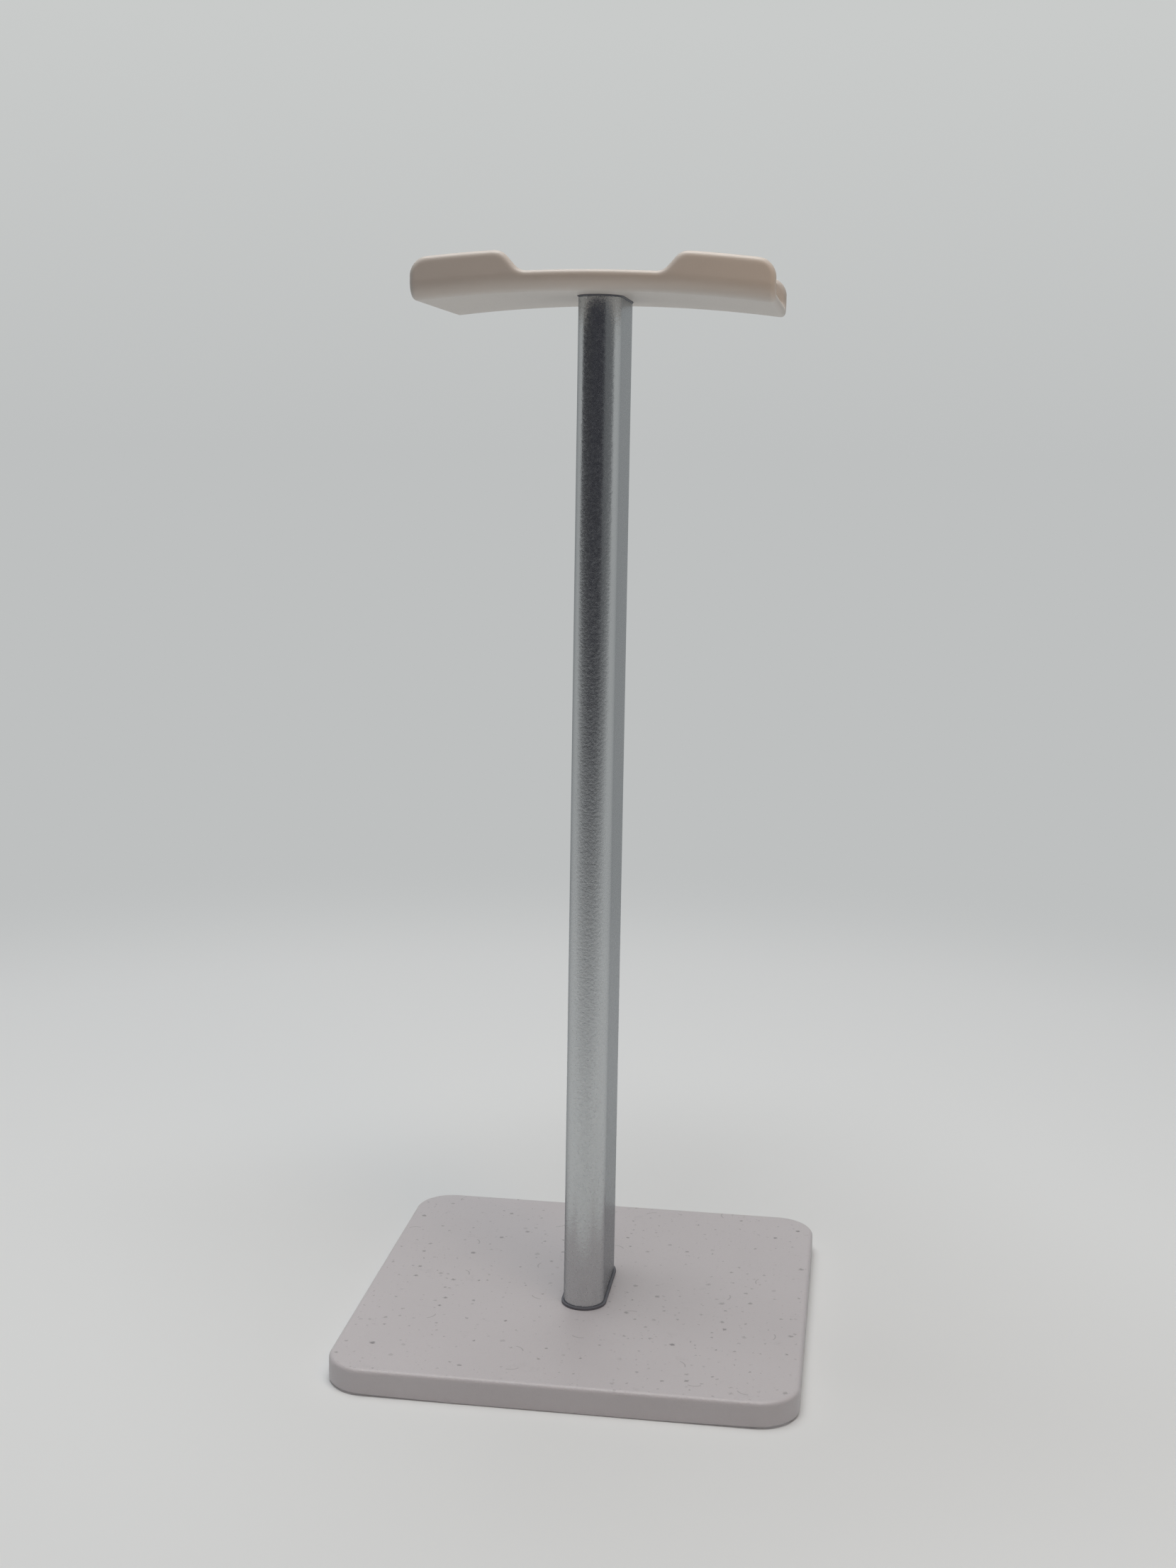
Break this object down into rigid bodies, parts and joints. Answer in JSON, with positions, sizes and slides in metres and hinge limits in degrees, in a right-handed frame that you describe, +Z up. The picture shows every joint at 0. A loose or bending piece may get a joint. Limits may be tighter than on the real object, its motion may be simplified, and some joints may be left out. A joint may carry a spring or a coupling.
{
  "type": "headphone stand",
  "caption": "Free-standing headphone stand: weighted square base with round corners, slim upright column and a soft arched headrest with raised ends.",
  "frame": {"origin": "centre of the base, on the surface that the feet stand on", "axes": "+X along the headrest (to the right, seen from the front), +Y from front to back across the headrest, +Z up along the column"},
  "size_m": [0.1, 0.1, 0.2351],
  "materials": {
    "base_plastic": "moulded ABS, off-white, fine satin texture",
    "cover_plastic": "moulded ABS, off-white, plain underside",
    "ballast_steel": "zinc-plated steel plate",
    "screw_steel": "zinc-plated steel screws",
    "foot_rubber": "black rubber",
    "gasket_rubber": "dark grey rubber sheet",
    "column_aluminium": "extruded aluminium, bead-blasted and clear anodised",
    "headrest_tpu": "moulded thermoplastic polyurethane, warm off-white, soft satin",
    "clamp_steel": "zinc-plated steel plate"
  },
  "bodies": {
    "root": {"base_shell": "base_plastic", "ballast_plate": "ballast_steel", "base_bottom_cover": "cover_plastic", "cover_screws": "screw_steel", "foot_front_left": "foot_rubber", "foot_front_right": "foot_rubber", "foot_rear_left": "foot_rubber", "foot_rear_right": "foot_rubber", "column_foot_gasket": "gasket_rubber", "column": "column_aluminium", "column_lower_screws": "screw_steel", "column_head_gasket": "gasket_rubber", "headrest": "headrest_tpu", "headrest_clamp_plate": "clamp_steel", "headrest_screws": "screw_steel"}
  },
  "joints": []
}
